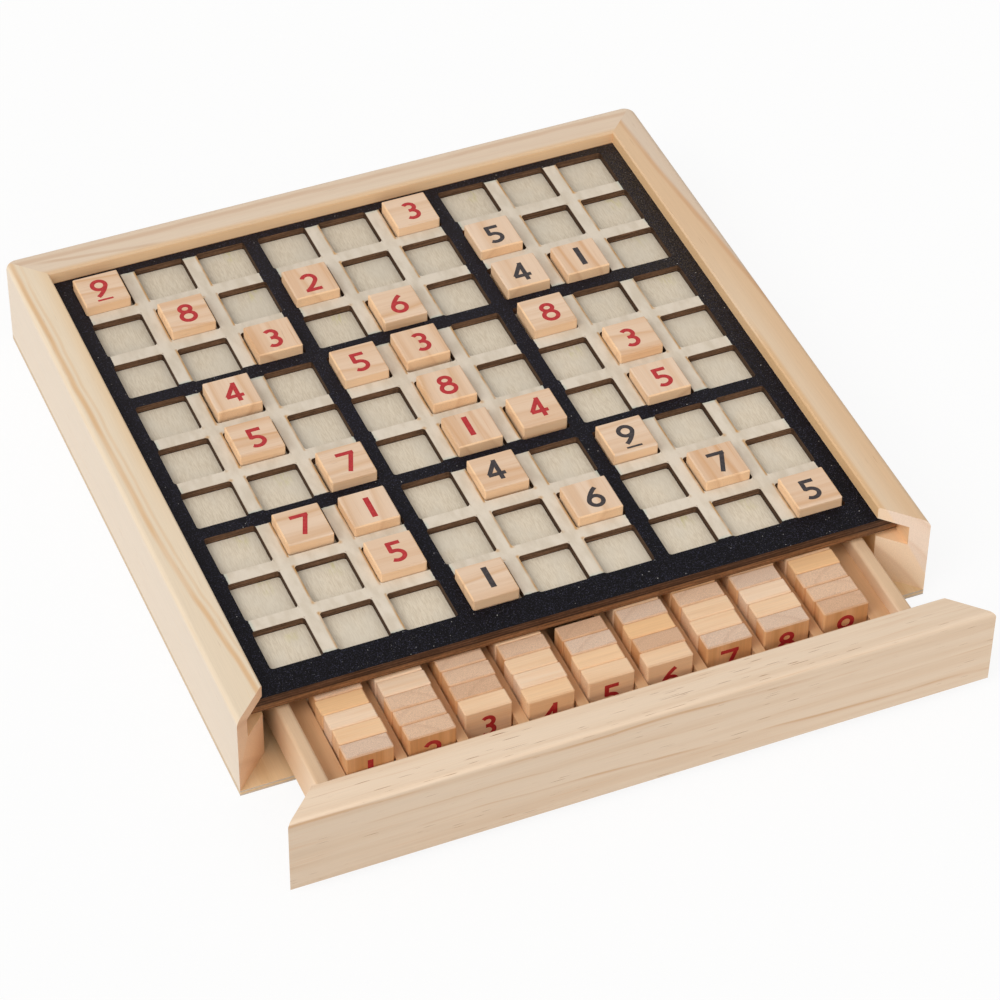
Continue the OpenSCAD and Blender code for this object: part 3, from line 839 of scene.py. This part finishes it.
# Row from the back, column from the left, digit, ink, shift of the print in millimetres, wood
BOARD_TILES = [
    (1, 1, 9, "red", -0.4, 0.1, "x1"), (1, 6, 3, "red", 0.15, -0.55, "x2"),
    (2, 2, 8, "red", 0.0, -0.6, "x1"), (2, 4, 2, "red", -0.4, -1.1, "y1"),
    (2, 7, 5, "black", 0.0, -0.75, "y2"),
    (3, 3, 3, "red", -0.25, -1.1, "y1"), (3, 5, 6, "red", 0.0, -0.5, "x2"),
    (3, 7, 4, "black", -0.25, -0.5, "y2"), (3, 8, 1, "black", 0.0, -0.15, "y1"),
    (4, 2, 4, "red", 0.2, -0.2, "y2"), (4, 4, 5, "red", 0.0, -0.9, "x1"),
    (4, 5, 3, "red", 0.5, 0.0, "y1"), (4, 7, 8, "red", 0.4, -0.85, "x2"),
    (5, 2, 5, "red", 0.25, -1.0, "x1"), (5, 5, 8, "red", 0.0, -0.3, "y2"),
    (5, 8, 3, "red", -1.0, -0.7, "x1"),
    (6, 3, 7, "red", 0.65, -0.2, "x2"), (6, 5, 1, "red", -0.9, 0.7, "y1"),
    (6, 6, 4, "red", 0.35, 0.0, "x1"), (6, 8, 5, "red", 0.4, -0.6, "y2"),
    (7, 2, 7, "red", -0.1, -0.15, "x2"), (7, 3, 1, "red", 0.25, -0.5, "y2"),
    (7, 5, 4, "black", -1.1, 0.1, "x1"), (7, 7, 9, "black", 0.25, 0.15, "x2"),
    (8, 3, 5, "red", 0.4, -0.1, "x1"), (8, 6, 6, "black", 0.6, -0.75, "y2"),
    (8, 8, 7, "black", 0.25, -0.45, "y1"),
    (9, 4, 1, "black", 0.65, 0.35, "x2"), (9, 9, 5, "black", -0.3, -0.8, "x1"),
]


# Dressing the solids

def wear(node, material):
    """gives a solid its finish"""
    mesh = NODES[node].data
    mesh.materials.clear()
    mesh.materials.append(material)


def dress_frame():
    wear("left_rail", left_rail_pine())
    wear("right_rail", right_rail_pine())
    wear("back_rail", back_rail_pine())
    wear("base_panel", base_plywood())
    wear("backing_sheet", birch_backing())
    wear("grid_sheet", printed_plywood())


def dress_drawer():
    wear("drawer_front", drawer_front_pine())
    side = drawer_side_pine()
    wear("drawer_left_side", side)
    wear("drawer_right_side", side)
    cross = drawer_cross_pine()
    wear("drawer_back", cross)
    wear("drawer_front_block", cross)
    strip = divider_pine()
    wear("left_filler", strip)
    wear("right_filler", strip)
    for i in range(1, 9):
        wear(f"divider_{i}", strip)
    wear("drawer_floor", drawer_floor_plywood())
    for i, tones in STORED_TILES.items():
        node = f"stored_tiles_{i}"
        wear(node, stored_wood(i, tones, reach(node)[0].y))


def dress_tiles(stamps, inks):
    """wood and a printed digit for each tile on the board"""
    woods = tile_woods()
    for row, col, digit, ink, dx, dy, wood in BOARD_TILES:
        tile = f"tile_r{row}c{col}"
        wear(tile, woods[wood])
        low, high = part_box(tile)
        middle = (low + high) / 2
        where = Matrix.Translation((middle.x + dx * MM, middle.y + dy * MM, high.z - INK_SUNK * MM))
        stamps.place(f"digit_r{row}c{col}", digit, inks[ink], where, tile)


def print_stored_digits(stamps, ink):
    """digits on the faces of the first tiles, seen from the front of the drawer"""
    shifts = [0.18, -0.09, 0.27, 0.0, -0.27, 0.09, -0.18]
    below_top = 7.4
    upright = Matrix.Rotation(math.radians(90), 4, "X")
    for i in range(1, 10):
        low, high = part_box(f"stored_tiles_{i}")
        x = ((i - 5) * CHANNEL_PITCH + shifts[i % len(shifts)]) * MM
        where = Matrix.Translation((x, low.y + INK_SUNK * MM, high.z - below_top * MM)) @ upright
        stamps.place(f"stored_digit_{i}", i, ink, where, "drawer")


# Light, floor and camera

def seen_by_camera(tree):
    """1 for rays from the camera and for what mirrors or clear things show of them"""
    path = tree.nodes.new("ShaderNodeLightPath")
    value = path.outputs["Is Camera Ray"]
    for other in ("Is Glossy Ray", "Is Transmission Ray"):
        both = tree.nodes.new("ShaderNodeMath")
        both.operation = "MAXIMUM"
        tree.links.new(value, both.inputs[0])
        tree.links.new(path.outputs[other], both.inputs[1])
        value = both.outputs[0]
    return value


def light_the_room():
    """even white surroundings and three soft lamps"""
    world = bpy.data.worlds.new("white_room")
    bpy.context.scene.world = world
    world.use_nodes = True
    tree = world.node_tree
    tree.nodes.clear()
    soft = tree.nodes.new("ShaderNodeBackground")
    soft.inputs["Color"].default_value = (1.0, 0.99, 0.975, 1.0)
    soft.inputs["Strength"].default_value = 0.57
    seen = tree.nodes.new("ShaderNodeBackground")
    seen.inputs["Color"].default_value = (1.0, 1.0, 1.0, 1.0)
    seen.inputs["Strength"].default_value = 1.0
    mix = tree.nodes.new("ShaderNodeMixShader")
    out = tree.nodes.new("ShaderNodeOutputWorld")
    tree.links.new(seen_by_camera(tree), mix.inputs[0])
    tree.links.new(soft.outputs[0], mix.inputs[1])
    tree.links.new(seen.outputs[0], mix.inputs[2])
    tree.links.new(mix.outputs[0], out.inputs["Surface"])

    def lamp(name, toward, strength, spread):
        data = bpy.data.lights.new(name, "SUN")
        data.energy = strength
        data.angle = math.radians(spread)
        data.color = (1.0, 0.985, 0.96)
        lamp_object = bpy.data.objects.new(name, data)
        lamp_object.rotation_euler = Vector(toward).to_track_quat("-Z", "Y").to_euler()
        bpy.context.scene.collection.objects.link(lamp_object)

    lamp("window_left", (0.62, 0.30, -0.72), 1.15, 38)
    lamp("side_glow", (0.95, 0.10, -0.28), 0.40, 60)
    lamp("front_glow", (-0.10, 0.85, -0.45), 0.38, 60)


def lay_floor():
    """plain white table that keeps a faint shadow"""
    shadow_share = 0.12
    material = bpy.data.materials.new("white_table")
    material.use_nodes = True
    tree = material.node_tree
    tree.nodes.clear()
    matt = tree.nodes.new("ShaderNodeBsdfDiffuse")
    matt.inputs["Color"].default_value = (0.93, 0.93, 0.93, 1.0)
    glow = tree.nodes.new("ShaderNodeEmission")
    glow.inputs["Strength"].default_value = 1.0
    share = tree.nodes.new("ShaderNodeMath")
    share.operation = "MULTIPLY"
    share.inputs[1].default_value = 1.0 - shadow_share
    mix = tree.nodes.new("ShaderNodeMixShader")
    out = tree.nodes.new("ShaderNodeOutputMaterial")
    tree.links.new(seen_by_camera(tree), share.inputs[0])
    tree.links.new(share.outputs[0], mix.inputs[0])
    tree.links.new(matt.outputs[0], mix.inputs[1])
    tree.links.new(glow.outputs[0], mix.inputs[2])
    tree.links.new(mix.outputs[0], out.inputs["Surface"])
    half, level = 8.0, -0.0002
    corners = [(-half, -half, level), (half, -half, level), (half, half, level), (-half, half, level)]
    mesh = bpy.data.meshes.new("table")
    mesh.from_pydata(corners, [], [(0, 1, 2, 3)])
    mesh.materials.append(material)
    table = bpy.data.objects.new("table", mesh)
    bpy.context.scene.collection.objects.link(table)


def set_camera():
    """the photograph's view, a little wider so that the whole drawer is in it"""
    place = Vector((-0.3497, -0.8549, 0.8500))
    right = Vector((0.9229, -0.3850, 0.0099)).normalized()
    back = Vector((-0.2867, -0.6698, 0.6849))
    back = (back - back.dot(right) * right).normalized()
    up = back.cross(right)
    photo_lens, wider = 142.14, 0.984
    data = bpy.data.cameras.new("photo_camera")
    data.sensor_width = 36.0
    data.lens = photo_lens * wider
    data.shift_x = 0.0035
    data.clip_end = 50.0
    camera = bpy.data.objects.new("photo_camera", data)
    turn = Matrix((right, up, back)).transposed().to_4x4()
    camera.matrix_world = Matrix.Translation(place) @ turn
    bpy.context.scene.collection.objects.link(camera)
    bpy.context.scene.camera = camera


bpy.context.scene.view_settings.view_transform = "Standard"
inks = {
    "red": printing_ink("red_ink", srgb(176, 38, 42), srgb(192, 58, 58), 81),
    "black": printing_ink("black_ink", srgb(46, 40, 42), srgb(70, 62, 62), 83),
}
stamps = Stamps()
dress_frame()
dress_drawer()
dress_tiles(stamps, inks)
print_stored_digits(stamps, inks["red"])
light_the_room()
lay_floor()
set_camera()
